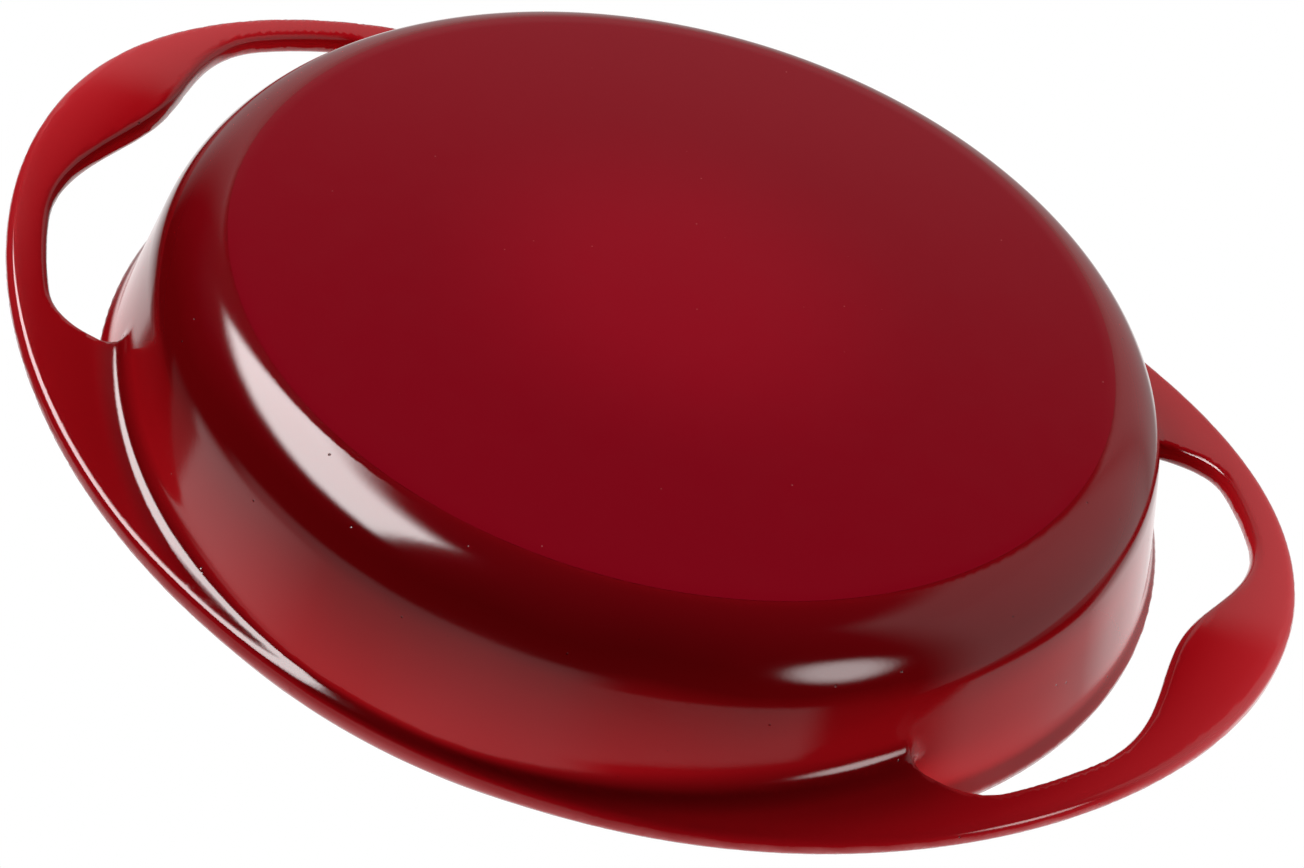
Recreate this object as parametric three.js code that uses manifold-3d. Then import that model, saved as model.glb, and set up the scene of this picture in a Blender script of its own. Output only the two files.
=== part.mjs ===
// Tarte tatin pan: an enamelled iron casting with two loop handles.
// Millimetres, +Z up. The origin is the middle of the flat base, and the handles point along X.
import * as THREE from "three";
import { mergeVertices } from "three/addons/utils/BufferGeometryUtils.js";
import { ParametricGeometry } from "three/addons/geometries/ParametricGeometry.js";
import Module from "manifold-3d";

const wasm = await Module();
wasm.setup();

// Bowl, measured over the enamel
const BASE_RADIUS = 107.7; // the flat that the pan stands on
const BASE_EDGE_ROUND = 1.6; // small rounding where the flat ends
const SHOULDER_START_DEG = 19.5; // slope of the shoulder where it leaves the base
const SHOULDER_RADIUS = 24.3;
const WALL_LEAN_DEG = 12.3; // outwards from upright
const PAN_HEIGHT = 51.7;
const WALL_THICKNESS = 4.6;
const FLOOR_THICKNESS = 5;
const FLOOR_CORNER_RADIUS = 16; // inside, from the floor up to the wall

// Rim
const LIP_COVE_RADIUS = 8; // hollow curve that swings the wall out to the lip
const LIP_UNDERSIDE_DEG = 52; // slope where the hollow curve turns into the lip
const LIP_ROUND = 2.6; // outer edge of the lip
const RIM_INNER_ROUND = 1.6;
const GROUND_COAT_DEG = 55; // how far the dark coat comes down the inner edge of the rim

// Band that runs round the rim and swings out into the handles
const BAND_PROUD = 0.4; // how far it stands out of the lip at the pan's sides
const BAND_BELOW_RIM = 0.8; // its upper face under the crest of the rim, at the sides
const BAND_THICKNESS = 5.9;
const BAND_WIDTH = 9.8; // at the slim stretches beside the thumb pads
const BAND_EDGE_ROUND = 2.4;
const HANDLE_REACH = 33.2; // from the lip to the end of a handle
const HANDLE_DROP = 21.1; // how far the handle ends lie below the sides of the band
const PAD_WIDTH = 22.6;
const PAD_THICKNESS = 7.1;
const PAD_SPREAD_DEG = 24; // from the middle of a pad to where it has run out
const ROOT_START_DEG = 34; // where the band begins to widen towards the wall
const ROOT_END_DEG = 43.5; // where it has run into the wall
const HANDLE_JOIN_DEG = 41; // where a handle's node ends, at its root

// Fired coats
const COAT = 0.5;
const COAT_GAP = 0.15; // between a coat and what lies under or beside it

// Fineness of the curves
const ROUND_STEPS = 56;
const BAND_STEPS = 112;
const SHOULDER_STEPS = 4;
const SMALL_ARC_STEPS = 2;
const CORNER_STEPS = 2; // on each corner of the band's section
const PAST = 5; // how far a cutting solid runs past the surface that it opens

const rad = THREE.MathUtils.degToRad;
const CORE_INSET = COAT + COAT_GAP;
const WALL_SLOPE = rad(90 - WALL_LEAN_DEG);
const INNER_SLOPE = rad(270 - WALL_LEAN_DEG);
const UP = Math.PI;

// A place on the section of the bowl: radius, height and the slope of the surface there.
// Slope 0 faces down, a quarter turn faces outwards and a half turn faces up.
const place = (r, z, slope) => ({ r, z, slope });
const across = (slope) => new THREE.Vector2(Math.sin(slope), -Math.cos(slope));

// An arc that sets out from a place and turns to another slope, round or hollow
function arc(from, toSlope, radius, steps, hollow = false) {
  const swing = hollow ? -radius : radius;
  const start = across(from.slope);
  const places = [];
  for (let i = 1; i <= steps; i += 1) {
    const slope = THREE.MathUtils.lerp(from.slope, toSlope, i / steps);
    const now = across(slope);
    places.push(place(from.r + swing * (now.x - start.x), from.z + swing * (now.y - start.y), slope));
  }
  return places;
}

const last = (places) => places[places.length - 1];

// Outside of the bowl, from the edge of the base up to the crest of the rim
const lipUnderside = rad(LIP_UNDERSIDE_DEG);
const lipRise =
  LIP_COVE_RADIUS * (Math.cos(lipUnderside) - Math.cos(WALL_SLOPE)) +
  LIP_ROUND * (1 + Math.cos(lipUnderside));
const outside = [place(BASE_RADIUS, 0, 0)];
outside.push(...arc(last(outside), rad(SHOULDER_START_DEG), BASE_EDGE_ROUND, SMALL_ARC_STEPS));
outside.push(...arc(last(outside), WALL_SLOPE, SHOULDER_RADIUS, SHOULDER_STEPS));
const wallFoot = last(outside);
const outerWallRadius = (z) => wallFoot.r + (z - wallFoot.z) * Math.tan(rad(WALL_LEAN_DEG));
const coveStart = PAN_HEIGHT - lipRise;
outside.push(place(outerWallRadius(coveStart), coveStart, WALL_SLOPE));
outside.push(...arc(last(outside), lipUnderside, LIP_COVE_RADIUS, SMALL_ARC_STEPS, true));
outside.push(...arc(last(outside), rad(90), LIP_ROUND, SMALL_ARC_STEPS));
const LIP_RADIUS = last(outside).r;
outside.push(...arc(last(outside), UP, LIP_ROUND, SMALL_ARC_STEPS));
const crest = last(outside);

// Inside of the bowl: the rim's inner edge, the wall, the corner and the floor out to the axis
const innerWallRadius = (z) => outerWallRadius(z) - WALL_THICKNESS / Math.cos(rad(WALL_LEAN_DEG));
const innerTurn = across(INNER_SLOPE);
const innerEdgeEnd = PAN_HEIGHT - RIM_INNER_ROUND + RIM_INNER_ROUND * innerTurn.y;
const innerCrest = place(innerWallRadius(innerEdgeEnd) - RIM_INNER_ROUND * innerTurn.x, PAN_HEIGHT, UP);
const groundCoatEnd = UP + rad(GROUND_COAT_DEG);
const rimInside = [innerCrest, ...arc(innerCrest, groundCoatEnd, RIM_INNER_ROUND, SMALL_ARC_STEPS)];
const coatSeam = arc(last(rimInside), groundCoatEnd + COAT_GAP / RIM_INNER_ROUND, RIM_INNER_ROUND, 1);
const inside = [...coatSeam, ...arc(last(coatSeam), INNER_SLOPE, RIM_INNER_ROUND, 1)];
const cornerRise = FLOOR_CORNER_RADIUS * (1 - Math.sin(rad(WALL_LEAN_DEG)));
const cornerTop = FLOOR_THICKNESS + cornerRise;
inside.push(place(innerWallRadius(cornerTop), cornerTop, INNER_SLOPE));
inside.push(...arc(last(inside), UP, FLOOR_CORNER_RADIUS, SHOULDER_STEPS, true));
inside.push(place(0, FLOOR_THICKNESS, UP));

// The same run of places, moved square to the surface into the metal, as points for a lathe
function inset(places, depth) {
  return places.map(({ r, z, slope }) => {
    const point = new THREE.Vector2(r, z).addScaledVector(across(slope), -depth);
    return r === 0 ? point.setX(0) : point;
  });
}

// Solids

function solid(geometry) {
  geometry.deleteAttribute("normal");
  geometry.deleteAttribute("uv");
  const merged = mergeVertices(geometry);
  const corners = merged.index.array;
  const triVerts = [];
  for (let i = 0; i < corners.length; i += 3) {
    const [a, b, c] = corners.slice(i, i + 3);
    if (a !== b && b !== c && c !== a) triVerts.push(a, b, c);
  }
  return new wasm.Manifold(
    new wasm.Mesh({
      numProp: 3,
      vertProperties: new Float32Array(merged.attributes.position.array),
      triVerts: new Uint32Array(triVerts),
    }),
  );
}

// Turns a closed outline of (radius, height) points about the Z axis
function revolve(outline) {
  return solid(new THREE.LatheGeometry(outline, ROUND_STEPS).rotateX(Math.PI / 2));
}

// A coat of even thickness over a run of places
function coatOver(places) {
  const outline = [...inset(places, 0), ...inset(places, COAT).reverse()];
  return [...outline, outline[0]];
}

// The band: an ellipse in plan, arched so that its ends drop, with a width that swells at the thumb pads
// and runs into the wall at the handle roots
const BAND_HALF_LENGTH = LIP_RADIUS + HANDLE_REACH;
const BAND_HALF_WIDTH = LIP_RADIUS + BAND_PROUD;
const BAND_SIDE_HEIGHT = PAN_HEIGHT - BAND_BELOW_RIM - BAND_THICKNESS / 2;

// Turn of the band's section at a share of the way round: the sections crowd together at the four roots
const crowded = (share) => 2 * Math.PI * share + 0.08 * Math.sin(8 * Math.PI * share);

function bandAt(turn) {
  const edge = new THREE.Vector2(BAND_HALF_LENGTH * Math.cos(turn), BAND_HALF_WIDTH * Math.sin(turn));
  const outwards = new THREE.Vector2(edge.x / BAND_HALF_LENGTH ** 2, edge.y / BAND_HALF_WIDTH ** 2);
  outwards.normalize();
  const height = BAND_SIDE_HEIGHT - HANDLE_DROP * Math.cos(turn) ** 2;
  const fromEnd = Math.asin(Math.abs(Math.sin(turn)));
  const swell = Math.cos((Math.PI / 2) * Math.min(1, fromEnd / rad(PAD_SPREAD_DEG))) ** 2;
  const free = THREE.MathUtils.lerp(BAND_WIDTH, PAD_WIDTH, swell);
  const middleOfWall = (innerWallRadius(height) + outerWallRadius(height)) / 2;
  const along = edge.dot(outwards);
  const toWall = along - Math.sqrt(along ** 2 - edge.lengthSq() + middleOfWall ** 2);
  const rootShare = (fromEnd - rad(ROOT_START_DEG)) / rad(ROOT_END_DEG - ROOT_START_DEG);
  const widening = THREE.MathUtils.clamp(rootShare, 0, 1);
  const rooted = widening ** 2 * Math.sqrt(widening); // late in its run, to round the end of the opening
  return {
    edge,
    outwards,
    height,
    width: THREE.MathUtils.lerp(free, toWall, rooted),
    thickness: THREE.MathUtils.lerp(BAND_THICKNESS, PAD_THICKNESS, swell),
  };
}

// Corner of the band's section number j, as (outwards, up) from the middle of the section
const SECTION_POINTS = 4 * (CORNER_STEPS + 1);
function sectionPoint(j, halfWidth, halfThickness, round) {
  const corner = Math.floor(j / (CORNER_STEPS + 1));
  const angle = (Math.PI / 2) * (corner + (j % (CORNER_STEPS + 1)) / CORNER_STEPS);
  const right = corner === 0 || corner === 3 ? 1 : -1;
  const top = corner < 2 ? 1 : -1;
  return new THREE.Vector2(
    right * (halfWidth - round) + round * Math.cos(angle),
    top * (halfThickness - round) + round * Math.sin(angle),
  );
}

function band(depth) {
  const surface = (u, v, target) => {
    const { edge, outwards, height, width, thickness } = bandAt(crowded(u));
    const corner = Math.round(v * SECTION_POINTS) % SECTION_POINTS;
    const point = sectionPoint(corner, width / 2 - depth, thickness / 2 - depth, BAND_EDGE_ROUND - depth);
    const plan = edge.clone().addScaledVector(outwards, point.x - width / 2);
    target.set(plan.x, plan.y, height + point.y);
  };
  return solid(new ParametricGeometry(surface, BAND_STEPS, SECTION_POINTS));
}

// Everything beyond the joint of a handle with the pan, on the side of +X or -X
const HANDLE_JOIN = BAND_HALF_LENGTH * Math.cos(rad(HANDLE_JOIN_DEG));
function beyondJoin(side) {
  const length = BAND_HALF_LENGTH;
  const block = new THREE.BoxGeometry(length, 4 * BAND_HALF_WIDTH, 4 * PAN_HEIGHT);
  return solid(block.translate(side * (HANDLE_JOIN + length / 2), 0, 0));
}

const skinOutline = [
  new THREE.Vector2(0, 0),
  ...inset(outside, 0),
  new THREE.Vector2(0, PAN_HEIGHT),
];
const underSkin = inset(outside.slice(1), COAT);
const skinCut = [
  new THREE.Vector2(0, -PAST),
  new THREE.Vector2(BASE_RADIUS + COAT_GAP, -PAST),
  new THREE.Vector2(BASE_RADIUS + COAT_GAP, COAT),
  ...underSkin,
  new THREE.Vector2(crest.r, PAN_HEIGHT + PAST),
  new THREE.Vector2(0, PAN_HEIGHT + PAST),
];
const coreOutline = [
  new THREE.Vector2(0, CORE_INSET),
  ...inset([...outside, ...rimInside, ...inside], CORE_INSET),
];
const besideSkin = place(crest.r - COAT_GAP, PAN_HEIGHT, UP);

const bandCore = band(CORE_INSET);
const leftBlock = beyondJoin(-1);
const rightBlock = beyondJoin(1);

const panCasting = revolve(coreOutline).add(bandCore.subtract(leftBlock).subtract(rightBlock));
const outerEnamel = revolve(skinOutline)
  .add(band(0))
  .subtract(revolve(skinCut).add(band(COAT)));
const baseEnamel = revolve([
  new THREE.Vector2(0, 0),
  new THREE.Vector2(BASE_RADIUS, 0),
  new THREE.Vector2(BASE_RADIUS, COAT),
  new THREE.Vector2(0, COAT),
]);

// Named pieces with their finishes

const castIron = new THREE.MeshStandardMaterial({ color: 0x3a3a3c, roughness: 0.7, metalness: 0.8 });
const cherryGloss = new THREE.MeshStandardMaterial({ color: 0x8c0d18, roughness: 0.12, metalness: 0 });
const cherrySatin = new THREE.MeshStandardMaterial({ color: 0x820f1d, roughness: 0.32, metalness: 0 });
const blackSatin = new THREE.MeshStandardMaterial({ color: 0x141416, roughness: 0.45, metalness: 0 });
const groundCoat = new THREE.MeshStandardMaterial({ color: 0x1f1a1b, roughness: 0.55, metalness: 0 });

function piece(name, body, material) {
  const { vertProperties, triVerts } = body.getMesh();
  const geometry = new THREE.BufferGeometry();
  geometry.setAttribute("position", new THREE.BufferAttribute(vertProperties, 3));
  geometry.setIndex(new THREE.BufferAttribute(triVerts, 1));
  geometry.computeVertexNormals();
  const mesh = new THREE.Mesh(geometry, material);
  mesh.name = name;
  return mesh;
}

const pan = new THREE.Group();
pan.name = "tarte_tatin_pan";
pan.add(
  piece("pan_casting", panCasting, castIron),
  piece("left_handle", bandCore.intersect(leftBlock), castIron),
  piece("right_handle", bandCore.intersect(rightBlock), castIron),
  piece("outer_enamel", outerEnamel, cherryGloss),
  piece("base_enamel", baseEnamel, cherrySatin),
  piece("inner_enamel", revolve(coatOver(inside)), blackSatin),
  piece("rim_ground_coat", revolve(coatOver([besideSkin, ...rimInside])), groundCoat),
);

export default pan;
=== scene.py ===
import math

import bpy
from mathutils import Matrix, Vector


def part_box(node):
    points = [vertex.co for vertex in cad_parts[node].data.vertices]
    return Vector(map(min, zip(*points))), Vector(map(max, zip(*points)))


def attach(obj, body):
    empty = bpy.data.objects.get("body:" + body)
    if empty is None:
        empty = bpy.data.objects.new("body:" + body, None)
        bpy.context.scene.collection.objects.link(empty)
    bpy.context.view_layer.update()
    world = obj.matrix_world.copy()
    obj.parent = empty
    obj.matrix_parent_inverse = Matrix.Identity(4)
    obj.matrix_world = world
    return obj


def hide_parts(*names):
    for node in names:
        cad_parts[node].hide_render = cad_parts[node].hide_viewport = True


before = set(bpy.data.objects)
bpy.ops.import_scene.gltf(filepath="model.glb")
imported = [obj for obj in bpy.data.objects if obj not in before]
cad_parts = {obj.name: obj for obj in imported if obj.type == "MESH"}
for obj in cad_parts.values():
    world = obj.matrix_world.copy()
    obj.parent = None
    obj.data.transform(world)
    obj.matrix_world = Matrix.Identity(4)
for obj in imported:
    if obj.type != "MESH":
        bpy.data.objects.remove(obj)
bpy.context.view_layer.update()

MM = 0.001


# Casting: floor, shoulder, wall and rim, with the roots of both handles, and the two handle loops.
# It is grey iron poured in sand, handles and pan in one pour, and every face of it lies under enamel.

def plug(tree, socket, value):
    """Fills a socket with a plain value or with another node's output."""
    if isinstance(value, bpy.types.NodeSocket):
        tree.links.new(value, socket)
    else:
        socket.default_value = value


def add_node(tree, kind, inputs=None, **options):
    """Adds a node with its options set and its inputs filled, by name or by number."""
    node = tree.nodes.new(kind)
    for option, value in options.items():
        setattr(node, option, value)
    for key, value in (inputs or {}).items():
        plug(tree, node.inputs[key], value)
    return node


def new_finish(name):
    """A new material: its node tree, its surface shader and the place on the pan that its patterns read."""
    material = bpy.data.materials.new(name)
    material.use_nodes = True
    tree = material.node_tree
    shader = tree.nodes["Principled BSDF"]
    place = add_node(tree, "ShaderNodeTexCoord").outputs["Object"]
    return material, tree, shader, place


def blend_colour(tree, mask, first, second):
    """Goes from one colour to another by a mask."""
    mix = add_node(tree, "ShaderNodeMix", data_type="RGBA")
    plug(tree, mix.inputs["Factor"], mask)
    plug(tree, mix.inputs[6], first)
    plug(tree, mix.inputs[7], second)
    return mix.outputs[2]


def stretch(tree, value, low, high, to_low, to_high):
    """Maps a range of a value on to another range, and holds it inside that."""
    reach = {"From Min": low, "From Max": high, "To Min": to_low, "To Max": to_high}
    node = add_node(tree, "ShaderNodeMapRange", {"Value": value, **reach})
    return node.outputs["Result"]


IRON_GREY = (0.075, 0.075, 0.08, 1.0)
IRON_DARK = (0.03, 0.029, 0.03, 1.0)
SAND_GRAIN = 900.0
IRON_MOTTLE = 60.0
IRON_ROUGHNESS = (0.55, 0.8)
PIT_DEPTH = 0.2 * MM

cast_iron, tree, shader, place = new_finish("sand_cast_iron")
grain = add_node(tree, "ShaderNodeTexNoise", {"Vector": place, "Scale": SAND_GRAIN, "Detail": 3.0})
mottle = add_node(tree, "ShaderNodeTexNoise", {"Vector": place, "Scale": IRON_MOTTLE, "Detail": 4.0})
plug(tree, shader.inputs["Base Color"], blend_colour(tree, mottle.outputs["Fac"], IRON_DARK, IRON_GREY))
plug(tree, shader.inputs["Roughness"], stretch(tree, grain.outputs["Fac"], 0.3, 0.7, *IRON_ROUGHNESS))
shader.inputs["Metallic"].default_value = 0.8
pits = add_node(tree, "ShaderNodeBump", {
    "Height": grain.outputs["Fac"], "Strength": 0.6, "Distance": PIT_DEPTH,
})
plug(tree, shader.inputs["Normal"], pits.outputs["Normal"])

for node_name in ("pan_casting", "left_handle", "right_handle"):
    for material_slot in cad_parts[node_name].material_slots:
        material_slot.material = cast_iron


# Outer enamel: the red coat over shoulder, wall, lip, handle band and thumb pads, in one skin.
# It is glass fired on to the iron, sprayed wet, so it pools in every hollow and rounds every edge.

base_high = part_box("base_enamel")[1]
skin_low, skin_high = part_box("outer_enamel")
rim_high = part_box("rim_ground_coat")[1]

BASE_RADIUS = base_high.x
PAN_HEIGHT = skin_high.z
BASE_STEP = 0.05 * MM  # how far the flat of the base stands proud of the shoulder
BASE_EDGE_ROUND = 1.6 * MM
BASE_EDGE_BLEND = 0.6 * MM  # how softly the flat of the base runs into the shoulder
SHOULDER_START = math.radians(19.5)
SHOULDER_RADIUS = 24.3 * MM
WALL_LEAN = math.radians(12.3)
WALL_SLOPE = math.radians(90) - WALL_LEAN
WALL_THICKNESS = 4.6 * MM
FLOOR_THICKNESS = 5 * MM
FLOOR_CORNER_RADIUS = 16 * MM
RIM_INNER_ROUND = 1.6 * MM
LIP_ROUND = 2.6 * MM
LIP_SPAN = 8 * MM  # from the outer edge of the lip in to the iron of the wall
LIP_COVE = 5.5 * MM  # reach of the hollow under the lip
LIP_BLEND_START = 1.6  # below the top of the rim, in roundings of the lip
LIP_BLEND_END = 0.6
COAT_SEAM = 0.15 * MM  # between two coats that meet
LIP_RADIUS = rim_high.x + COAT_SEAM + LIP_ROUND
BAND_HALF_LENGTH = skin_high.x
BAND_HALF_WIDTH = skin_high.y
BAND_THICKNESS = 5.9 * MM
BAND_BELOW_RIM = 0.8 * MM
BAND_SIDE_HEIGHT = PAN_HEIGHT - BAND_BELOW_RIM - BAND_THICKNESS / 2
BAND_WIDTH = 9.8 * MM
BAND_EDGE_ROUND = 2.4 * MM
HANDLE_DROP = 21.1 * MM
PAD_WIDTH = 22.6 * MM
PAD_THICKNESS = 7.1 * MM
PAD_CROWN = 0.25 * MM  # how much thinner the band is at its edges than along its middle
PAD_SPREAD = math.radians(24)
ROOT_START = math.radians(34)
ROOT_END = math.radians(43.5)
ROOT_SWING = 2.5  # how late in its root the band swings in to the wall: 1 is a straight run
ROOT_COVE = 10 * MM  # reach of the hollow between the band and the wall at the handle roots
SIDE_COVE = 5 * MM  # the same, along the sides
CREST_COVE = 3.2 * MM  # the same, at the top of the band
ROOT_COVE_END = math.radians(66)  # the reach changes between these two turns from the handle's end
SIDE_COVE_START = math.radians(84)
CREST_RUN = 3 * MM  # height from the underside of the band over which its hollow narrows
CREASE_RUN = 2 * MM  # and over which the painted shade in the crease ends
COAT = 0.5 * MM
SKIN_UNDER_COATS = 0.06 * MM  # how far the red lies under the coats of the base, rim and inside
SKIN_FINENESS = 1.43 * MM  # width of one small face
SKIN_ROOM = 5 * MM  # round the skin, in the block that it is drawn in
SKIN_STEPS = 5  # moves that bring the drawn skin on to the exact surface
SKIN_UNDER_BASE = 4 * MM  # how far the skin runs in under the base disc
SKIN_UNDER_RIM = 1.5 * MM  # how near the hollow it ends, under the rim's coat
SAME_POINT = 0.001 * MM  # points nearer than this are one
PROBE = 0.1 * MM  # step aside that tells which way the surface faces
NEAREST_STEPS = 3  # towards the nearest point of the ellipse
NOT_ZERO = 0.01 * MM  # least length to divide by

shoulder_centre_r = BASE_RADIUS + (BASE_EDGE_ROUND - SHOULDER_RADIUS) * math.sin(SHOULDER_START)
shoulder_centre_z = BASE_EDGE_ROUND + (SHOULDER_RADIUS - BASE_EDGE_ROUND) * math.cos(SHOULDER_START)
wall_foot_r = shoulder_centre_r + SHOULDER_RADIUS * math.sin(WALL_SLOPE)
wall_foot_z = shoulder_centre_z - SHOULDER_RADIUS * math.cos(WALL_SLOPE)
corner_centre_z = FLOOR_THICKNESS + FLOOR_CORNER_RADIUS


def outer_wall_radius(z):
    return wall_foot_r + (z - wall_foot_z) * math.tan(WALL_LEAN)


def inner_wall_radius(z):
    return outer_wall_radius(z) - WALL_THICKNESS / math.cos(WALL_LEAN)


corner_end_z = corner_centre_z - FLOOR_CORNER_RADIUS * math.sin(WALL_LEAN)
corner_centre_r = inner_wall_radius(corner_end_z) - FLOOR_CORNER_RADIUS * math.cos(WALL_LEAN)


class Field:
    """A number that changes from place to place, held as the output of a node in a tree."""

    def __init__(self, tree, socket):
        self.tree = tree
        self.socket = socket

    def math(self, operation, *others):
        node = self.tree.nodes.new("ShaderNodeMath")
        node.operation = operation
        for socket, value in zip(node.inputs, (self, *others)):
            plug(self.tree, socket, value.socket if isinstance(value, Field) else value)
        return Field(self.tree, node.outputs["Value"])

    def __add__(self, other):
        return self.math("ADD", other)

    def __sub__(self, other):
        return self.math("SUBTRACT", other)

    def __mul__(self, other):
        return self.math("MULTIPLY", other)

    def __truediv__(self, other):
        return self.math("DIVIDE", other)

    def __neg__(self):
        return self.math("MULTIPLY", -1.0)

    def held(self, low, high):
        return self.math("MAXIMUM", low).math("MINIMUM", high)

    def eased(self, low, high):
        """0 below low, 1 above high, and a soft step between them."""
        step = ((self - low) / (high - low)).held(0.0, 1.0)
        return step * step * (-(step * 2.0) + 3.0)

    def towards(self, other, share):
        return self + (other - self) * share


def axes_of(tree, vector):
    """The three parts of a vector, each as a field."""
    split = add_node(tree, "ShaderNodeSeparateXYZ", {"Vector": vector})
    return tuple(Field(tree, split.outputs[axis]) for axis in "XYZ")


def span(a, b):
    """Length of the slanting side over two legs."""
    return (a * a + b * b).math("SQRT")


def rounded_section(across, up, half_width, half_height, rounding):
    """Distance to a bar's section: a rectangle with rounded corners."""
    over = across.math("ABSOLUTE") - (half_width - rounding)
    above = up.math("ABSOLUTE") - (half_height - rounding)
    outer = span(over.math("MAXIMUM", 0.0), above.math("MAXIMUM", 0.0))
    inner = over.math("MAXIMUM", above).math("MINIMUM", 0.0)
    return outer + inner - rounding


def dished(radius, height, centre_r, centre_z, corner, slope):
    """Distance to a dish: a flat bottom, a round corner and a wall that leans out at a slope."""
    out = radius - centre_r
    rise = height - centre_z
    turn = out.math("ARCTAN2", -rise).held(0.0, slope)
    return out * turn.math("SINE") - rise * turn.math("COSINE") - corner


skin_sizes = {
    "Pan Height": PAN_HEIGHT - SKIN_UNDER_COATS,
    "Base Height": BASE_STEP,
    "Base Edge": BASE_EDGE_BLEND,
    "Shoulder Centre Radius": shoulder_centre_r,
    "Shoulder Centre Height": shoulder_centre_z,
    "Shoulder Radius": SHOULDER_RADIUS,
    "Wall Slope": WALL_SLOPE,
    "Corner Centre Radius": corner_centre_r,
    "Corner Centre Height": corner_centre_z,
    "Corner Radius": FLOOR_CORNER_RADIUS + SKIN_UNDER_COATS,
    "Rim Inner Edge": 2 * RIM_INNER_ROUND,
    "Lip Radius": LIP_RADIUS,
    "Lip Round": LIP_ROUND,
    "Lip Span": LIP_SPAN,
    "Lip Cove": LIP_COVE,
    "Band Half Length": BAND_HALF_LENGTH,
    "Band Half Width": BAND_HALF_WIDTH,
    "Band Side Height": BAND_SIDE_HEIGHT,
    "Band Width": BAND_WIDTH,
    "Band Thickness": BAND_THICKNESS,
    "Band Edge Round": BAND_EDGE_ROUND,
    "Handle Drop": HANDLE_DROP,
    "Pad Width": PAD_WIDTH,
    "Pad Thickness": PAD_THICKNESS,
    "Pad Crown": PAD_CROWN,
    "Pad Spread": PAD_SPREAD,
    "Root Start": ROOT_START,
    "Root End": ROOT_END,
    "Root Cove": ROOT_COVE,
    "Side Cove": SIDE_COVE,
    "Crest Cove": CREST_COVE,
    "Wall Middle Radius": (outer_wall_radius(0) + inner_wall_radius(0)) / 2,
    "Wall Lean": math.tan(WALL_LEAN),
}

pan_form = bpy.data.node_groups.new("distance_to_the_pan", "GeometryNodeTree")
pan_form.interface.new_socket("Place", in_out="INPUT", socket_type="NodeSocketVector")
for size_name in skin_sizes:
    pan_form.interface.new_socket(size_name, in_out="INPUT", socket_type="NodeSocketFloat")
for distance_name in ("Distance", "Hollow", "Crease"):
    pan_form.interface.new_socket(distance_name, in_out="OUTPUT", socket_type="NodeSocketFloat")
form_in = add_node(pan_form, "NodeGroupInput")
form_out = add_node(pan_form, "NodeGroupOutput")
size = {name: Field(pan_form, form_in.outputs[name]) for name in skin_sizes}
x, y, z = axes_of(pan_form, form_in.outputs["Place"])
radius = span(x, y)

# Bowl, with its lip
bowl = dished(
    radius, z, size["Shoulder Centre Radius"], size["Shoulder Centre Height"],
    size["Shoulder Radius"], size["Wall Slope"],
)
bowl = bowl.math("SMOOTH_MAX", size["Base Height"] - z, size["Base Edge"])
lip_middle_r = size["Lip Radius"] - size["Lip Span"] / 2.0
lip_middle_z = size["Pan Height"] - size["Lip Round"]
bowl = bowl.math("MAXIMUM", z - lip_middle_z)
lip = rounded_section(
    radius - lip_middle_r, z - lip_middle_z, size["Lip Span"] / 2.0, size["Lip Round"], size["Lip Round"]
)
blend_start = size["Pan Height"] - size["Lip Round"] * LIP_BLEND_START
blend_end = size["Pan Height"] - size["Lip Round"] * LIP_BLEND_END
up_the_lip = z.eased(blend_start, blend_end)
bowl = bowl.math("SMOOTH_MIN", lip, size["Lip Cove"] * (-up_the_lip + 1.0))

# Nearest point on the ellipse that the band follows, found in a few steps, in one quarter of the plan
half_length = size["Band Half Length"]
half_width = size["Band Half Width"]
plan_x = x.math("ABSOLUTE")
plan_y = y.math("ABSOLUTE")
stretch_squared = half_length * half_length - half_width * half_width
turn_x = plan_x * 0.0 + math.sqrt(0.5)
turn_y = plan_y * 0.0 + math.sqrt(0.5)
for step in range(NEAREST_STEPS):
    bend_x = stretch_squared * turn_x.math("POWER", 3.0) / half_length
    bend_y = -stretch_squared * turn_y.math("POWER", 3.0) / half_width
    reach = span(half_length * turn_x - bend_x, half_width * turn_y - bend_y)
    away = span(plan_x - bend_x, plan_y - bend_y).math("MAXIMUM", NOT_ZERO)
    turn_x = ((((plan_x - bend_x) * reach) / away + bend_x) / half_length).held(0.0, 1.0)
    turn_y = ((((plan_y - bend_y) * reach) / away + bend_y) / half_width).held(0.0, 1.0)
    unit = span(turn_x, turn_y)
    turn_x = turn_x / unit
    turn_y = turn_y / unit
edge_x = half_length * turn_x
edge_y = half_width * turn_y
square = span(turn_x / half_length, turn_y / half_width)
square_x = turn_x / half_length / square
square_y = turn_y / half_width / square
inwards = (edge_x - plan_x) * square_x + (edge_y - plan_y) * square_y

# Band: arched, swelling at the thumb pads, and running into the wall at the handle roots
band_height = size["Band Side Height"] - size["Handle Drop"] * turn_x * turn_x
from_end = turn_y.math("ARCSINE")
swell = ((from_end / size["Pad Spread"]).math("MINIMUM", 1.0) * (math.pi / 2)).math("COSINE")
swell = swell * swell
free_width = size["Band Width"].towards(size["Pad Width"], swell)
wall_middle = size["Wall Middle Radius"] + band_height * size["Wall Lean"]
along = edge_x * square_x + edge_y * square_y
chord = along * along - edge_x * edge_x - edge_y * edge_y + wall_middle * wall_middle
to_wall = along - chord.math("MAXIMUM", 0.0).math("SQRT")
root_run = (from_end - size["Root Start"]) / (size["Root End"] - size["Root Start"])
band_width = free_width.towards(to_wall, root_run.held(0.0, 1.0).math("POWER", ROOT_SWING))
band_half = size["Band Thickness"].towards(size["Pad Thickness"], swell) / 2.0
off_middle = inwards - band_width / 2.0
off_height = z - band_height
edge_share = (off_middle * 2.0 / band_width).held(-1.0, 1.0)
crowned_half = band_half - size["Pad Crown"] * edge_share * edge_share
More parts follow.
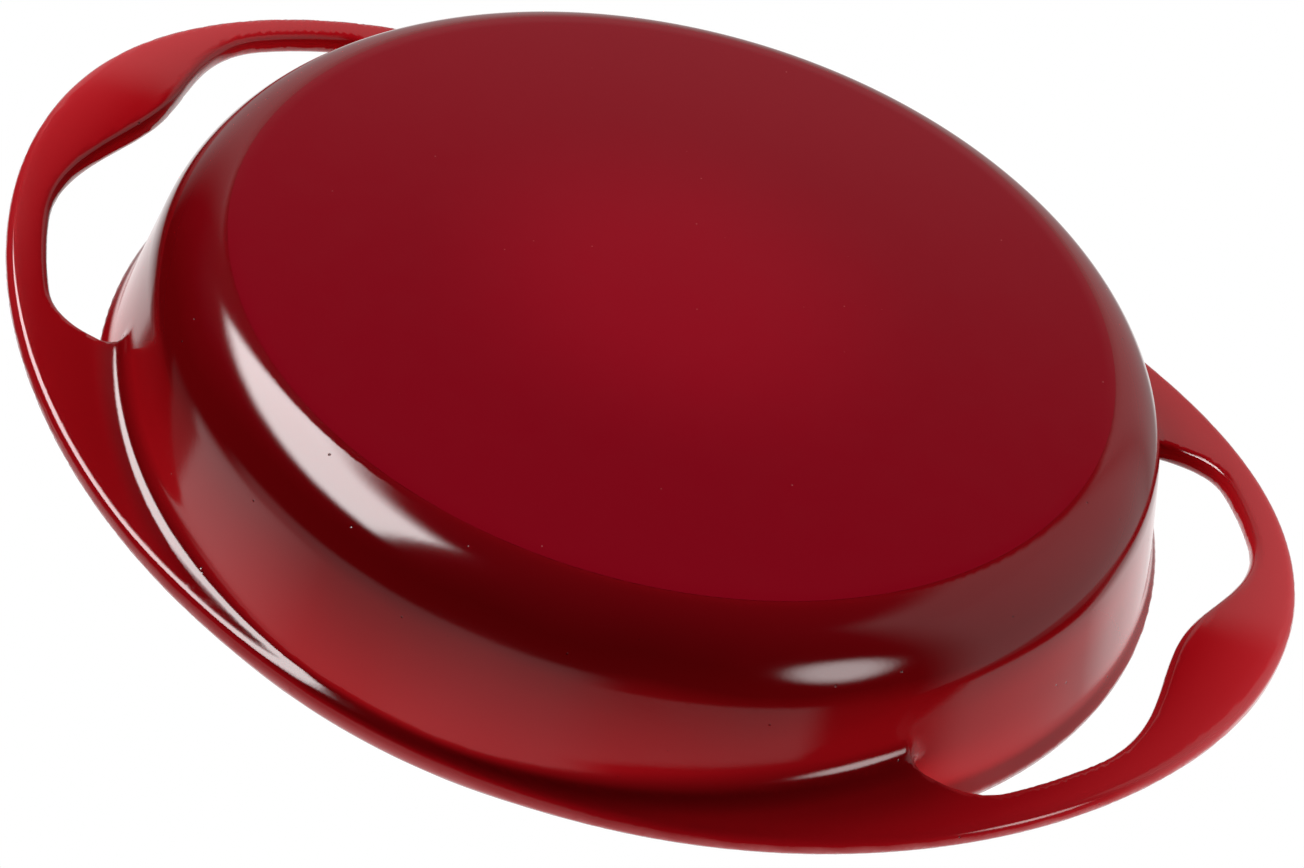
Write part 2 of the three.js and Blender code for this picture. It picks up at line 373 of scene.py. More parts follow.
band = rounded_section(off_middle, off_height, band_width / 2.0, crowned_half, size["Band Edge Round"])
over_band = off_height.eased(-band_half, -band_half + CREST_RUN)
to_the_side = from_end.eased(ROOT_COVE_END, SIDE_COVE_START)
under_cove = size["Root Cove"].towards(size["Side Cove"], to_the_side)
cove = under_cove.towards(size["Crest Cove"], over_band)
solid_pan = bowl.math("SMOOTH_MIN", band, cove)

# Hollow of the cooking side
hollow = dished(
    radius, z,
    size["Corner Centre Radius"], size["Corner Centre Height"], size["Corner Radius"], size["Wall Slope"],
)
distance = solid_pan.math("SMOOTH_MAX", -hollow, size["Rim Inner Edge"])

# Crease under the band, from 0 on the open wall to 1 in its depth, where the red is darkened as painted
# shade
crease = (-((bowl - band).math("ABSOLUTE") / under_cove) + 1.0).held(0.0, 1.0)
crease = crease * (-off_height.eased(-band_half, -band_half + CREASE_RUN) + 1.0)

plug(pan_form, form_out.inputs["Distance"], distance.socket)
plug(pan_form, form_out.inputs["Hollow"], hollow.socket)
plug(pan_form, form_out.inputs["Crease"], crease.socket)

# Skin: drawn in small cells, then moved on to the exact surface
skin_tree = bpy.data.node_groups.new("fired_skin_of_the_pan", "GeometryNodeTree")
skin_tree.interface.new_socket("Geometry", in_out="OUTPUT", socket_type="NodeSocketGeometry")
skin_sockets = {}
for size_name in skin_sizes:
    skin_sockets[size_name] = skin_tree.interface.new_socket(
        size_name, in_out="INPUT", socket_type="NodeSocketFloat"
    )
sizes_in = add_node(skin_tree, "NodeGroupInput")


def form_at(place):
    """At a place: how far off the skin and the hollow are, and how deep in the crease it is."""
    sizes = {size_name: sizes_in.outputs[size_name] for size_name in skin_sizes}
    node = add_node(skin_tree, "GeometryNodeGroup", {"Place": place, **sizes}, node_tree=pan_form)
    return tuple(Field(skin_tree, node.outputs[name]) for name in ("Distance", "Hollow", "Crease"))


here = add_node(skin_tree, "GeometryNodeInputPosition").outputs["Position"]
distance, hollow, crease = form_at(here)
around = Vector((SKIN_ROOM, SKIN_ROOM, SKIN_ROOM))
low_corner = skin_low - around
high_corner = skin_high + around
cells = [round(side / SKIN_FINENESS) for side in high_corner - low_corner]
block = add_node(skin_tree, "GeometryNodeVolumeCube", {
    "Density": (-distance).socket,
    "Background": -1.0,
    "Min": low_corner,
    "Max": high_corner,
    "Resolution X": cells[0],
    "Resolution Y": cells[1],
    "Resolution Z": cells[2],
})
drawn = add_node(skin_tree, "GeometryNodeVolumeToMesh", {
    "Volume": block.outputs["Volume"], "Threshold": 0.0,
})
skin = drawn.outputs["Mesh"]
facing = add_node(skin_tree, "GeometryNodeInputNormal").outputs["Normal"]
pull = add_node(skin_tree, "ShaderNodeVectorMath", {
    0: facing, "Scale": (-distance).socket,
}, operation="SCALE")
for step in range(SKIN_STEPS):
    moved = add_node(skin_tree, "GeometryNodeSetPosition", {
        "Geometry": skin, "Offset": pull.outputs["Vector"],
    })
    skin = moved.outputs["Geometry"]

# What lies under the coats of the base, the rim and the inside is left open
x, y, z = axes_of(skin_tree, here)
on_the_flat = z.math("LESS_THAN", BASE_STEP * 1.5)
under_base = on_the_flat * span(x, y).math("LESS_THAN", BASE_RADIUS - SKIN_UNDER_BASE)
under_rim = hollow.math("LESS_THAN", SKIN_UNDER_RIM)
hidden = under_base.math("MAXIMUM", under_rim)
shown = add_node(
    skin_tree, "GeometryNodeDeleteGeometry", {"Geometry": skin, "Selection": hidden.socket}, domain="FACE"
)
marked = add_node(skin_tree, "GeometryNodeStoreNamedAttribute", {
    "Geometry": shown.outputs["Geometry"], "Name": "crease", "Value": crease.socket,
}, data_type="FLOAT", domain="POINT")
smooth = add_node(skin_tree, "GeometryNodeSetShadeSmooth", {"Geometry": marked.outputs["Geometry"]})

# The way that the glass faces, taken from the form, so that highlights run clean over the small faces
rise = []
for axis in range(3):
    beside = [0.0, 0.0, 0.0]
    beside[axis] = PROBE
    probe = add_node(skin_tree, "ShaderNodeVectorMath", {0: here, 1: beside}, operation="ADD")
    rise.append((form_at(probe.outputs["Vector"])[0] - distance).socket)
steepest = add_node(skin_tree, "ShaderNodeCombineXYZ", {0: rise[0], 1: rise[1], 2: rise[2]})
glass_out = add_node(skin_tree, "ShaderNodeVectorMath", {0: steepest.outputs[0]}, operation="NORMALIZE")
glass_in = add_node(
    skin_tree, "ShaderNodeVectorMath", {0: glass_out.outputs["Vector"], "Scale": -1.0}, operation="SCALE"
)
face = add_node(skin_tree, "GeometryNodeSetMeshNormal", {}, mode="FREE")
plug(skin_tree, face.inputs["Mesh"], smooth.outputs["Geometry"])
plug(skin_tree, face.inputs["Custom Normal"], glass_out.outputs["Vector"])

# The side of the coat that lies on the iron
sunk = add_node(skin_tree, "GeometryNodeExtrudeMesh", {
    "Mesh": smooth.outputs["Geometry"], "Offset Scale": -COAT, "Individual": False,
})
turned_over = add_node(skin_tree, "GeometryNodeFlipFaces", {"Mesh": sunk.outputs["Mesh"]})
back = add_node(skin_tree, "GeometryNodeSetMeshNormal", {}, mode="FREE")
plug(skin_tree, back.inputs["Mesh"], turned_over.outputs["Mesh"])
plug(skin_tree, back.inputs["Custom Normal"], glass_in.outputs["Vector"])
both = add_node(skin_tree, "GeometryNodeJoinGeometry")
skin_tree.links.new(back.outputs["Mesh"], both.inputs["Geometry"])
skin_tree.links.new(face.outputs["Mesh"], both.inputs["Geometry"])
closed = add_node(skin_tree, "GeometryNodeMergeByDistance", {
    "Geometry": both.outputs["Geometry"], "Distance": SAME_POINT,
})
coated = add_node(skin_tree, "GeometryNodeSetMaterial", {"Geometry": closed.outputs["Geometry"]})
skin_out = add_node(skin_tree, "NodeGroupOutput")
skin_tree.links.new(coated.outputs["Geometry"], skin_out.inputs["Geometry"])


def effect(name, inputs, output):
    """A shader effect that several finishes share: a node group with named inputs and one output."""
    group = bpy.data.node_groups.new(name, "ShaderNodeTree")
    group.interface.new_socket("Place", in_out="INPUT", socket_type="NodeSocketVector")
    for input_name in inputs:
        group.interface.new_socket(input_name, in_out="INPUT", socket_type="NodeSocketFloat")
    group.interface.new_socket(output, in_out="OUTPUT", socket_type="NodeSocketFloat")
    given = add_node(group, "NodeGroupInput").outputs
    result = add_node(group, "NodeGroupOutput").inputs[output]
    return group, given, result


def use_effect(tree, group, place, **values):
    """Places a shared effect in a finish, with the finish's own values."""
    node = add_node(tree, "ShaderNodeGroup", node_tree=group)
    plug(tree, node.inputs["Place"], place)
    for key, value in values.items():
        plug(tree, node.inputs[key.replace("_", " ").title()], value)
    return node.outputs[0]


# Fired glass is never dead flat: a long sway from the spraying, and a short orange peel on top of it
fired_ripple, given, result = effect("fired_ripple", ("Sway", "Peel", "Peel Share"), "Height")
sway = add_node(fired_ripple, "ShaderNodeTexNoise", {
    "Vector": given["Place"], "Scale": given["Sway"], "Detail": 1.0, "Roughness": 0.4,
})
peel = add_node(fired_ripple, "ShaderNodeTexNoise", {
    "Vector": given["Place"], "Scale": given["Peel"], "Detail": 2.0, "Roughness": 0.5,
})
peel_part = add_node(
    fired_ripple, "ShaderNodeMath", {0: peel.outputs["Fac"], 1: given["Peel Share"]}, operation="MULTIPLY"
)
ripple_sum = add_node(
    fired_ripple, "ShaderNodeMath", {0: sway.outputs["Fac"], 1: peel_part.outputs[0]}, operation="ADD"
)
plug(fired_ripple, result, ripple_sum.outputs[0])

# Pinholes: gas that left the iron in the firing, a round dot in a few of the cells of a pattern
pinholes, given, result = effect("pinholes", ("Cells", "Dot Size", "Empty Share"), "Mask")
cells_of_dots = add_node(
    pinholes, "ShaderNodeTexVoronoi", {"Vector": given["Place"], "Scale": given["Cells"], "Randomness": 1.0}
)
dot = add_node(
    pinholes, "ShaderNodeMapRange",
    {"Value": cells_of_dots.outputs["Distance"], "From Min": 0.0, "From Max": given["Dot Size"],
     "To Min": 1.0, "To Max": 0.0},
    interpolation_type="SMOOTHSTEP",
)
dot_chance = add_node(pinholes, "ShaderNodeSeparateColor", {"Color": cells_of_dots.outputs["Color"]})
chosen = add_node(pinholes, "ShaderNodeMath", {
    0: dot_chance.outputs["Red"], 1: given["Empty Share"],
}, operation="GREATER_THAN")
chosen_dots = add_node(
    pinholes, "ShaderNodeMath", {0: dot.outputs["Result"], 1: chosen.outputs[0]}, operation="MULTIPLY"
)
plug(pinholes, result, chosen_dots.outputs[0])

PINHOLE_DARK = (0.03, 0.002, 0.003, 1.0)
CREASE_SHADE_RED = (0.100, 0.0007, 0.0016, 1.0)  # painted shade: the red darkened in the hollow between the band and the wall
BOWL_REDS = (  # by height: the glass is thickest and darkest on the shoulder, thin towards the rim
    (0.0, (0.170, 0.0020, 0.0045, 1.0)),
    (0.06, (0.160, 0.0016, 0.0040, 1.0)),
    (0.18, (0.120, 0.0009, 0.0020, 1.0)),
    (0.27, (0.120, 0.0009, 0.0020, 1.0)),
    (0.35, (0.200, 0.0018, 0.0035, 1.0)),
    (0.55, (0.320, 0.0035, 0.0065, 1.0)),
    (0.82, (0.470, 0.0065, 0.0110, 1.0)),
)
HANDLE_REDS = (  # by radius: thinnest over the outer edges of the thumb pads
    (0.0, (0.300, 0.0030, 0.0060, 1.0)),
    (0.50, (0.340, 0.0040, 0.0075, 1.0)),
    (0.85, (0.410, 0.0120, 0.0170, 1.0)),
    (1.0, (0.470, 0.0230, 0.0300, 1.0)),
)
BOWL_END = 129.4 * MM
HANDLES_START = 130.4 * MM
HANDLES_END = 165 * MM
GLOSS_WANDER = 0.12  # how far the bands of colour wander
CREASE_SHADE_START = 0.35  # depth in the crease where the painted shade begins to darken the red
CREASE_SHADE_FULL = 0.95
CREASE_SHADE_SHARE = 0.8
GLOSS_ROUGHNESS = (0.085, 0.12)
GLOSS_IOR = 1.52
GLOSS_RIPPLE = 0.05 * MM
PINHOLE_DEPTH = 0.2 * MM


def fade(tree, value, reds):
    """A run of colours along a value from 0 to 1."""
    ramp = add_node(tree, "ShaderNodeValToRGB", {"Fac": value})
    stops = ramp.color_ramp.elements
    while len(stops) < len(reds):
        stops.new(0.5)
    for stop, (share, colour) in zip(stops, reds):
        stop.position = share
        stop.color = colour
    return ramp.outputs["Color"]


cherry_gloss, tree, shader, place = new_finish("cherry_gloss_enamel")
x, y, z = axes_of(tree, place)
drift = add_node(tree, "ShaderNodeTexNoise", {"Vector": place, "Scale": 22.0, "Detail": 3.0})
run = (Field(tree, drift.outputs["Fac"]) - 0.5) * GLOSS_WANDER
radius = span(x, y)
up_the_bowl = z / PAN_HEIGHT + run
out_the_handle = (radius - HANDLES_START) / (HANDLES_END - HANDLES_START) + run
bowl_red = fade(tree, up_the_bowl.socket, BOWL_REDS)
handle_red = fade(tree, out_the_handle.socket, HANDLE_REDS)
red = blend_colour(tree, radius.eased(BOWL_END, HANDLES_START).socket, bowl_red, handle_red)
# Painted shade: the red is darkened in the crease under the band, where shade falls
crease_shade = add_node(tree, "ShaderNodeAttribute", attribute_name="crease").outputs["Fac"]
red = blend_colour(tree, stretch(tree, crease_shade, CREASE_SHADE_START, CREASE_SHADE_FULL, 0.0, CREASE_SHADE_SHARE), red, CREASE_SHADE_RED)
holes = use_effect(tree, pinholes, place, cells=160.0, dot_size=0.065, empty_share=0.55)
plug(tree, shader.inputs["Base Color"], blend_colour(tree, holes, red, PINHOLE_DARK))
haze = add_node(tree, "ShaderNodeTexNoise", {"Vector": place, "Scale": 45.0, "Detail": 4.0})
plug(tree, shader.inputs["Roughness"], stretch(tree, haze.outputs["Fac"], 0.35, 0.7, *GLOSS_ROUGHNESS))
shader.inputs["IOR"].default_value = GLOSS_IOR
ripple = use_effect(tree, fired_ripple, place, sway=55.0, peel=650.0, peel_share=0.12)
peeled = add_node(tree, "ShaderNodeBump", {"Height": ripple, "Strength": 1.0, "Distance": GLOSS_RIPPLE})
hole_relief = add_node(tree, "ShaderNodeBump", {
    "Height": holes, "Strength": 0.5, "Distance": PINHOLE_DEPTH, "Normal": peeled.outputs["Normal"],
}, invert=True)
plug(tree, shader.inputs["Normal"], hole_relief.outputs["Normal"])
coated.inputs["Material"].default_value = cherry_gloss


def new_piece(name, mesh, finish):
    """Puts a mesh in the scene as a piece of the pan."""
    piece = bpy.data.objects.new(name, mesh)
    bpy.context.scene.collection.objects.link(piece)
    mesh.materials.append(finish)
    return piece


def settle(piece):
    """Turns what a piece's modifiers make into its own plain mesh, and takes the modifiers off."""
    depsgraph = bpy.context.evaluated_depsgraph_get()
    made = bpy.data.meshes.new_from_object(piece.evaluated_get(depsgraph), depsgraph=depsgraph)
    piece.modifiers.clear()
    piece.data = made


def take_place(piece, node_name):
    """The piece stands for a node of the frame and goes on the pan's one body; the node's own part is
    hidden.
    """
    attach(piece, "root")
    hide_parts(node_name)


outer_skin = new_piece("outer_enamel_skin", bpy.data.meshes.new("outer_enamel_skin"), cherry_gloss)
drawing = outer_skin.modifiers.new("fired_skin", "NODES")
drawing.node_group = skin_tree
for size_name, size_value in skin_sizes.items():
    drawing[skin_sockets[size_name].identifier] = float(size_value)
settle(outer_skin)
take_place(outer_skin, "outer_enamel")


# Base enamel: the red coat on the flat that the pan stands on, a little proud of the shoulder round it.
# It is the same glass, fired face down on pins and rubbed by the hob, so it has a satin face.

ROUND_STEPS = 256
DISC_EDGE_RUN = 3 * MM  # the last stretch of the disc, where it dips under the gloss of the shoulder
DISC_EDGE_SLOPE = math.radians(3)
DISC_EDGE_STEPS = 6
SHARP = math.radians(40)


def turned(name, outline, finish):
    """A closed piece turned about the pan's middle from an outline of (radius, height) points."""
    points = []
    rings = []
    for r, height in outline:
        ring = []
        for step in range(1 if r == 0 else ROUND_STEPS):
            angle = 2 * math.pi * step / ROUND_STEPS
            ring.append(len(points))
            points.append((r * math.cos(angle), r * math.sin(angle), height))
        rings.append(ring)
    faces = []
    for lower, upper in zip(rings, rings[1:] + rings[:1]):
        if len(lower) == 1 and len(upper) == 1:
            continue
        for step in range(ROUND_STEPS):
            after = (step + 1) % ROUND_STEPS
            if len(lower) == 1:
                faces.append((lower[0], upper[after], upper[step]))
            elif len(upper) == 1:
                faces.append((lower[step], lower[after], upper[0]))
            else:
                faces.append((lower[step], lower[after], upper[after], upper[step]))
    mesh = bpy.data.meshes.new(name)
    mesh.from_pydata(points, [], faces)
    mesh.polygons.foreach_set("use_smooth", [True] * len(faces))
    mesh.set_sharp_from_angle(angle=SHARP)
    return new_piece(name, mesh, finish)


def bend(start, slope_from, slope_to, bend_radius, steps):
    """Points of an arc in a section, by the slope of its surface: 0 faces down, a half turn faces up."""
    points = []
    for step in range(steps + 1):
        slope = slope_from + (slope_to - slope_from) * step / steps
        points.append((
            start[0] + bend_radius * (math.sin(slope) - math.sin(slope_from)),
            start[1] - bend_radius * (math.cos(slope) - math.cos(slope_from)),
        ))
    return points


CHERRY_BASE = (0.250, 0.0025, 0.0105, 1.0)
CHERRY_BASE_DARK = (0.200, 0.0018, 0.0080, 1.0)
SPECK_PALE = (0.42, 0.12, 0.13, 1.0)
BRIGHT_MIDDLE_RADIUS = 15 * MM  # the middle, where the red is brightest
DARKER_EDGE_RADIUS = 70 * MM
SATIN_WANDER = 0.3
SATIN_ROUGHNESS = (0.13, 0.15)
SATIN_IOR = 1.5
SATIN_RIPPLE = 0.012 * MM

cherry_satin, tree, shader, place = new_finish("cherry_satin_enamel")
drift = add_node(tree, "ShaderNodeTexNoise", {"Vector": place, "Scale": 14.0, "Detail": 4.0})
specks = use_effect(tree, pinholes, place, cells=260.0, dot_size=0.07, empty_share=0.92)
x, y = axes_of(tree, place)[:2]
run = (Field(tree, drift.outputs["Fac"]) - 0.5) * SATIN_WANDER
# The red of the base is brighter in the middle and darker towards its edge
towards_the_edge = span(x, y).eased(BRIGHT_MIDDLE_RADIUS, DARKER_EDGE_RADIUS) + run
red = blend_colour(tree, towards_the_edge.held(0.0, 1.0).socket, CHERRY_BASE, CHERRY_BASE_DARK)
plug(tree, shader.inputs["Base Color"], blend_colour(tree, specks, red, SPECK_PALE))
rubbed = add_node(tree, "ShaderNodeTexNoise", {"Vector": place, "Scale": 120.0, "Detail": 5.0})
plug(tree, shader.inputs["Roughness"], stretch(tree, rubbed.outputs["Fac"], 0.3, 0.7, *SATIN_ROUGHNESS))
shader.inputs["IOR"].default_value = SATIN_IOR
ripple = use_effect(tree, fired_ripple, place, sway=30.0, peel=1100.0, peel_share=0.2)
peeled = add_node(tree, "ShaderNodeBump", {"Height": ripple, "Strength": 1.0, "Distance": SATIN_RIPPLE})
plug(tree, shader.inputs["Normal"], peeled.outputs["Normal"])

disc_edge_radius = DISC_EDGE_RUN / math.sin(DISC_EDGE_SLOPE)
disc_edge_start = (BASE_RADIUS - DISC_EDGE_RUN, 0)
disc_edge = bend(disc_edge_start, 0, DISC_EDGE_SLOPE, disc_edge_radius, DISC_EDGE_STEPS)
disc_outline = [(0, 0), (BASE_RADIUS - 2 * DISC_EDGE_RUN, 0), *disc_edge, (BASE_RADIUS, COAT), (0, COAT)]
base_disc = turned("base_enamel_disc", disc_outline, cherry_satin)
take_place(base_disc, "base_enamel")


# Rim: the crest between the red outside and the black inside, where the iron shows only its first coat.
# It is the dark ground coat, wiped clear of colour before the firing, so it is thin and dull.

GROUND_DARK = (0.012, 0.010, 0.010, 1.0)
GROUND_WARM = (0.030, 0.017, 0.016, 1.0)
GROUND_COAT_TURN = math.radians(55)
UP = math.pi
RIM_STEPS = 10
RIM_CHAMFER = 0.1 * MM
GROUND_ROUGHNESS = (0.42, 0.6)
GROUND_RIPPLE = 0.08 * MM

ground_coat, tree, shader, place = new_finish("dull_ground_coat")
drift = add_node(tree, "ShaderNodeTexNoise", {"Vector": place, "Scale": 90.0, "Detail": 5.0})
holes = use_effect(tree, pinholes, place, cells=420.0, dot_size=0.16, empty_share=0.8)
warmth = stretch(tree, drift.outputs["Fac"], 0.35, 0.65, 0.0, 1.0)
bare = blend_colour(tree, warmth, GROUND_DARK, GROUND_WARM)
plug(tree, shader.inputs["Base Color"], blend_colour(tree, holes, bare, IRON_GREY))
plug(tree, shader.inputs["Roughness"], stretch(tree, drift.outputs["Fac"], 0.3, 0.7, *GROUND_ROUGHNESS))
ripple = use_effect(tree, fired_ripple, place, sway=120.0, peel=900.0, peel_share=0.5)
peeled = add_node(tree, "ShaderNodeBump", {"Height": ripple, "Strength": 1.0, "Distance": GROUND_RIPPLE})
plug(tree, shader.inputs["Normal"], peeled.outputs["Normal"])

inner_edge_z = PAN_HEIGHT - RIM_INNER_ROUND * (1 - math.sin(WALL_LEAN))
inner_crest_r = inner_wall_radius(inner_edge_z) + RIM_INNER_ROUND * math.cos(WALL_LEAN)
ground_end = UP + GROUND_COAT_TURN
rim_edge = bend((inner_crest_r, PAN_HEIGHT), UP, ground_end, RIM_INNER_ROUND, RIM_STEPS)
rim_under = bend((inner_crest_r, PAN_HEIGHT - COAT), UP, ground_end, RIM_INNER_ROUND - COAT, RIM_STEPS)
rim_outline = [
    (rim_high.x, PAN_HEIGHT - COAT),
    (rim_high.x, PAN_HEIGHT - RIM_CHAMFER),
    (rim_high.x - RIM_CHAMFER, PAN_HEIGHT),
    *rim_edge,
    *reversed(rim_under),
]
rim_coat = turned("rim_ground_coat_ring", rim_outline, ground_coat)
take_place(rim_coat, "rim_ground_coat")


# Inner enamel: the black coat of the cooking side, over the floor, its corner and the wall.
# It is a matt glass fired on to the iron, with a faint tooth that oil settles into.

BLACK = (0.010, 0.010, 0.0105, 1.0)
BLACK_WORN = (0.019, 0.018, 0.018, 1.0)
BLACK_ROUGHNESS = (0.36, 0.46)
BLACK_RIPPLE = 0.07 * MM
INNER_EDGE_STEPS = 3
INNER_CORNER_STEPS = 24
FLOOR_RING = 8 * MM  # a ring of faces on the floor beside its corner
INNER_SLOPE = math.radians(270) - WALL_LEAN

black_satin, tree, shader, place = new_finish("black_satin_enamel")
drift = add_node(tree, "ShaderNodeTexNoise", {"Vector": place, "Scale": 18.0, "Detail": 5.0})
holes = use_effect(tree, pinholes, place, cells=300.0, dot_size=0.09, empty_share=0.9)
black = blend_colour(tree, stretch(tree, drift.outputs["Fac"], 0.35, 0.7, 0.0, 1.0), BLACK, BLACK_WORN)
plug(tree, shader.inputs["Base Color"], blend_colour(tree, holes, black, BLACK))
plug(tree, shader.inputs["Roughness"], stretch(tree, drift.outputs["Fac"], 0.3, 0.7, *BLACK_ROUGHNESS))
ripple = use_effect(tree, fired_ripple, place, sway=60.0, peel=1500.0, peel_share=0.5)
peeled = add_node(tree, "ShaderNodeBump", {"Height": ripple, "Strength": 1.0, "Distance": BLACK_RIPPLE})
plug(tree, shader.inputs["Normal"], peeled.outputs["Normal"])

seam = ground_end + COAT_SEAM / RIM_INNER_ROUND
inner_start = bend(rim_edge[-1], ground_end, seam, RIM_INNER_ROUND, 1)[-1]
inner_edge = bend(inner_start, seam, INNER_SLOPE, RIM_INNER_ROUND, INNER_EDGE_STEPS)
corner_top = (inner_wall_radius(corner_end_z), corner_end_z)
inner_corner = bend(corner_top, INNER_SLOPE, UP, -FLOOR_CORNER_RADIUS, INNER_CORNER_STEPS)
floor_ring_r = inner_corner[-1][0] - FLOOR_RING
inner_face = [*inner_edge, *inner_corner, (floor_ring_r, FLOOR_THICKNESS), (0, FLOOR_THICKNESS)]


def coat_under(points):
    """The underside of a coat whose face is a run of section points, a coat's thickness into the iron."""
    under = []
    for i, (r, height) in enumerate(points):
        before = points[max(i - 1, 0)]
        after = points[min(i + 1, len(points) - 1)]
        run = math.hypot(after[0] - before[0], after[1] - before[1])
        out_r = r - COAT * (after[1] - before[1]) / run
        under.append((0 if r == 0 else out_r, height + COAT * (after[0] - before[0]) / run))
    return under


inner_coat = turned("inner_enamel_lining", [*inner_face, *reversed(coat_under(inner_face))], black_satin)
take_place(inner_coat, "inner_enamel")


# Studio: a pale floor under the pan, soft lamps round it, and a room of pale walls that the glass mirrors.
# The photograph looks up at the base, so the floor is clear from below and only the camera sees it.
# The bright key below the pan shows in first reflections only, and behind the pan the camera sees white.

FLOOR_SIDE = 8.0
FLOOR_GAP = 0.2 * MM
FLOOR_WHITE = (0.86, 0.86, 0.86, 1.0)
FLOOR_NEAR = 0.35
FLOOR_FAR = 1.1

floor_finish, tree, shader, place = new_finish("pale_floor")
tree.nodes.remove(shader)
from_middle = add_node(tree, "ShaderNodeVectorMath", {0: place}, operation="LENGTH").outputs["Value"]
matt = add_node(tree, "ShaderNodeBsdfDiffuse", {"Color": FLOOR_WHITE})
white = add_node(tree, "ShaderNodeEmission", {"Strength": 1.0})
far = add_node(tree, "ShaderNodeMapRange", {
    "Value": from_middle, "From Min": FLOOR_NEAR, "From Max": FLOOR_FAR,
}, interpolation_type="SMOOTHSTEP")
paling = add_node(tree, "ShaderNodeMixShader", {
    0: far.outputs["Result"], 1: matt.outputs[0], 2: white.outputs[0],
})
clear = add_node(tree, "ShaderNodeBsdfTransparent")
side = add_node(tree, "ShaderNodeNewGeometry").outputs["Backfacing"]
one_way = add_node(tree, "ShaderNodeMixShader", {0: side, 1: paling.outputs[0], 2: clear.outputs[0]})
plug(tree, tree.nodes["Material Output"].inputs["Surface"], one_way.outputs[0])

floor_mesh = bpy.data.meshes.new("studio_floor")
half_floor = FLOOR_SIDE / 2
floor_mesh.from_pydata(
    [(sx * half_floor, sy * half_floor, -FLOOR_GAP) for sx, sy in ((-1, -1), (1, -1), (1, 1), (-1, 1))],
    [], [(0, 1, 2, 3)],
)
floor = new_piece("studio_floor", floor_mesh, floor_finish)
floor.visible_diffuse = False
floor.visible_glossy = False
floor.visible_transmission = False
floor.visible_shadow = False

sky = bpy.data.worlds.new("studio_sky")
bpy.context.scene.world = sky
sky.use_nodes = True
tree = sky.node_tree
background = tree.nodes["Background"]
looking = add_node(tree, "ShaderNodeTexCoord").outputs["Generated"]
x, y, z = axes_of(tree, looking)
bearing = y.math("ARCTAN2", x)

# A direction's height goes from -1, straight down, to 1, straight up. A pair is the ends of a soft edge.
CEILING_EDGE = (0.38, 0.48)
CEILING_LEVEL = 0.55
ZENITH_EDGE = (0.4, 0.9)
ZENITH_LEVEL = 0.4
ROOM_WALLS = (  # start, end and softness are in degrees
    dict(start=22, end=75, softness=4, low=0.26, high=0.34, level=0.45),
    dict(start=67, end=150, softness=7, low=0.03, high=0.12, level=0.42),
    dict(start=128, end=215, softness=26, low=0.15, high=0.30, level=1.0),
    dict(start=-144, end=-66, softness=8, low=-0.615, high=-0.50, level=0.42),
    dict(start=-69, end=-6, softness=9, low=-0.86, high=-0.78, level=0.50),
    dict(start=-157, end=-85, softness=1.5, low=0.30, high=0.50, level=1.05),
    dict(start=-95, end=-48, softness=14, low=0.30, high=0.50, level=1.05),
)
DARK_CORNER_START = (165, 169)
DARK_CORNER_END = (-160, -156)
DARK_CORNER_TOP = (0.52, 0.58)
DARK_CORNER_SHARE = 0.9
KEY_BEARING = math.radians(159)
KEY_SIDES = (math.radians(33), math.radians(40))
KEY_FOOT = (-0.93, -0.85)
KEY_TOP = (-0.64, -0.55)
KEY_LEVEL = 13.5
SPARK_TOWARDS = Vector((0.905, 0.295, -0.305)).normalized()
SPARK_EDGE = (0.974, 0.998)
SPARK_LEVEL = 6.5
TWICE_MIRRORED = 2.5  # the depth of a ray to the sky is 2 after one mirroring and 3 after two


def past(start, end):
    """A soft step between two bearings in degrees."""
    return bearing.eased(math.radians(start), math.radians(end))


def wall_of_light(start, end, softness, low, high, level):
    """A pale wall of the room between two bearings, lit from a low height up."""
    inside = past(start - softness, start + softness) * (-past(end - softness, end + softness) + 1.0)
    return inside * z.eased(low, high) * level


room = z.eased(*CEILING_EDGE) * CEILING_LEVEL + z.eased(*ZENITH_EDGE) * ZENITH_LEVEL
for wall in ROOM_WALLS:
    room = room.math("MAXIMUM", wall_of_light(**wall))
dark_corner = past(*DARK_CORNER_START) + (-past(*DARK_CORNER_END) + 1.0)
dark_corner = dark_corner * (-z.eased(*DARK_CORNER_TOP) + 1.0)
room = room * (-dark_corner * DARK_CORNER_SHARE + 1.0)

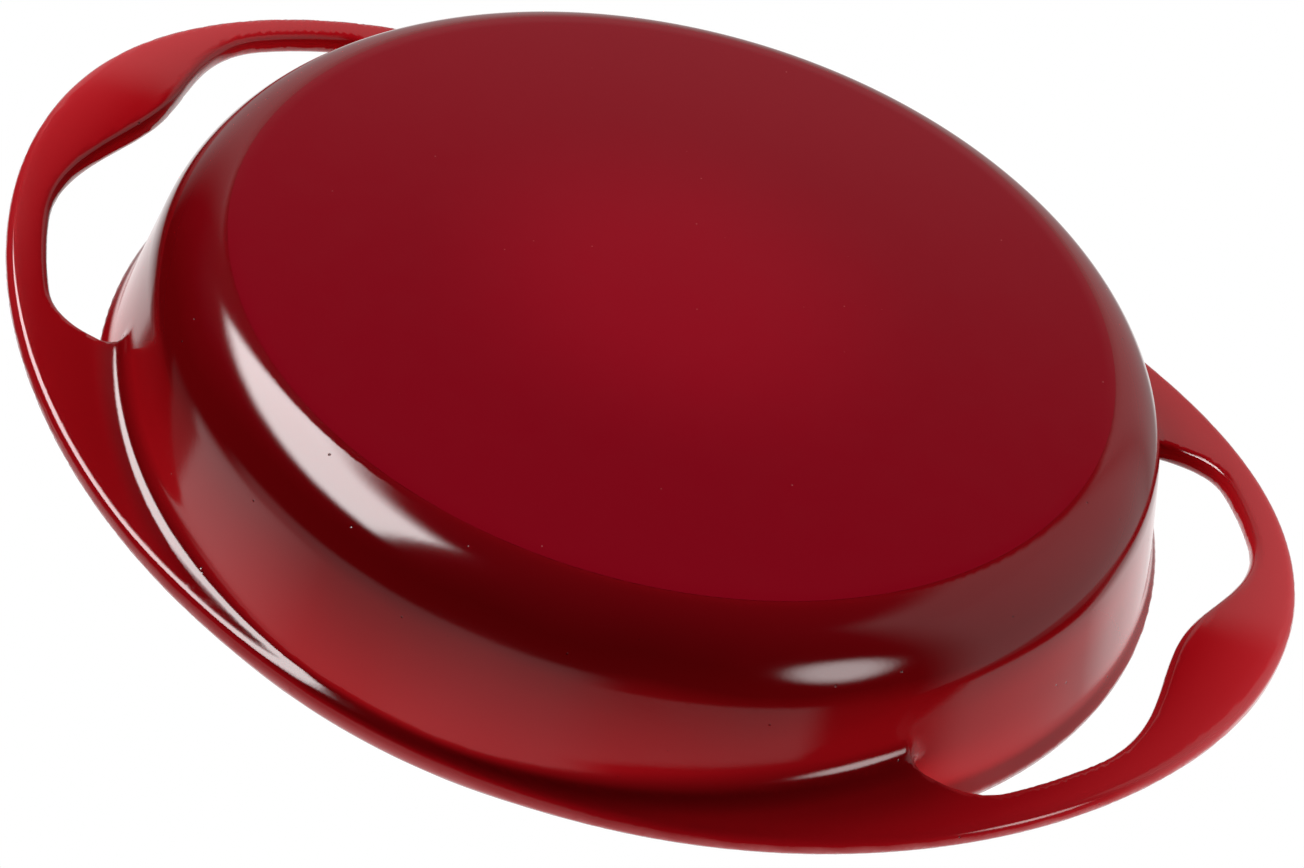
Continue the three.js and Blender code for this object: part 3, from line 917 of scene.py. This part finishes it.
key_ahead = x * math.cos(KEY_BEARING) + y * math.sin(KEY_BEARING)
key_aside = y * math.cos(KEY_BEARING) - x * math.sin(KEY_BEARING)
off_key = key_aside.math("ARCTAN2", key_ahead).math("ABSOLUTE")
key = (-off_key.eased(*KEY_SIDES) + 1.0) * z.eased(*KEY_FOOT) * (-z.eased(*KEY_TOP) + 1.0)
spark = (x * SPARK_TOWARDS.x + y * SPARK_TOWARDS.y + z * SPARK_TOWARDS.z).eased(*SPARK_EDGE)
ray = add_node(tree, "ShaderNodeLightPath").outputs
not_twice = Field(tree, ray["Ray Depth"]).math("LESS_THAN", TWICE_MIRRORED)
mirrored_once = Field(tree, ray["Is Glossy Ray"]) * not_twice
seen_light = room + (key * KEY_LEVEL + spark * SPARK_LEVEL) * mirrored_once
strength = add_node(tree, "ShaderNodeMix", {"Factor": ray["Is Camera Ray"], 2: seen_light.socket, 3: 1.0})
plug(tree, background.inputs["Strength"], strength.outputs[0])
background.inputs["Color"].default_value = (1.0, 1.0, 1.0, 1.0)

AIM = Vector((0, 0, PAN_HEIGHT / 2))
LAMP_AWAY = 1.3
LAMP_SIDE = 0.9


def softbox(name, towards, radiance):
    """A square lamp in a direction from the pan, facing it, that lights the glass but isn't mirrored."""
    lamp = bpy.data.lights.new(name, "AREA")
    lamp.shape = "RECTANGLE"
    lamp.size = LAMP_SIDE
    lamp.size_y = LAMP_SIDE
    lamp.energy = radiance * math.pi * LAMP_SIDE * LAMP_SIDE
    holder = bpy.data.objects.new(name, lamp)
    out = Vector(towards).normalized()
    facing_pan = out.to_track_quat("Z", "Y").to_matrix().to_4x4()
    holder.matrix_world = Matrix.Translation(AIM + out * LAMP_AWAY) @ facing_pan
    holder.visible_camera = False
    holder.visible_glossy = False
    bpy.context.scene.collection.objects.link(holder)


softbox("key_below", (-0.70, -0.25, -0.67), 8.4)
softbox("fill_right", (0.85, -0.42, -0.30), 6.6)
softbox("fill_front", (0.10, 0.95, 0.30), 4.0)
softbox("key_above", (-0.45, -0.55, 0.80), 5.0)

SENSOR_WIDTH = 36.0  # in millimetres, as is the focal length
FOCAL_LENGTH = 117.896
CAMERA_RIGHT = (0.864926, -0.453485, -0.215069)
CAMERA_UP = (-0.444835, -0.494194, -0.746924)
CAMERA_BACK = (0.232433, 0.741704, -0.629167)
CAMERA_PLACE = (0.24590, 0.77228, -0.61065)

lens = bpy.data.cameras.new("photo_camera")
lens.sensor_width = SENSOR_WIDTH
lens.lens = FOCAL_LENGTH
camera = bpy.data.objects.new("photo_camera", lens)
camera.matrix_world = Matrix((CAMERA_RIGHT, CAMERA_UP, CAMERA_BACK)).transposed().to_4x4()
camera.matrix_world.translation = CAMERA_PLACE
bpy.context.scene.collection.objects.link(camera)
bpy.context.scene.camera = camera
bpy.context.scene.view_settings.view_transform = "Standard"
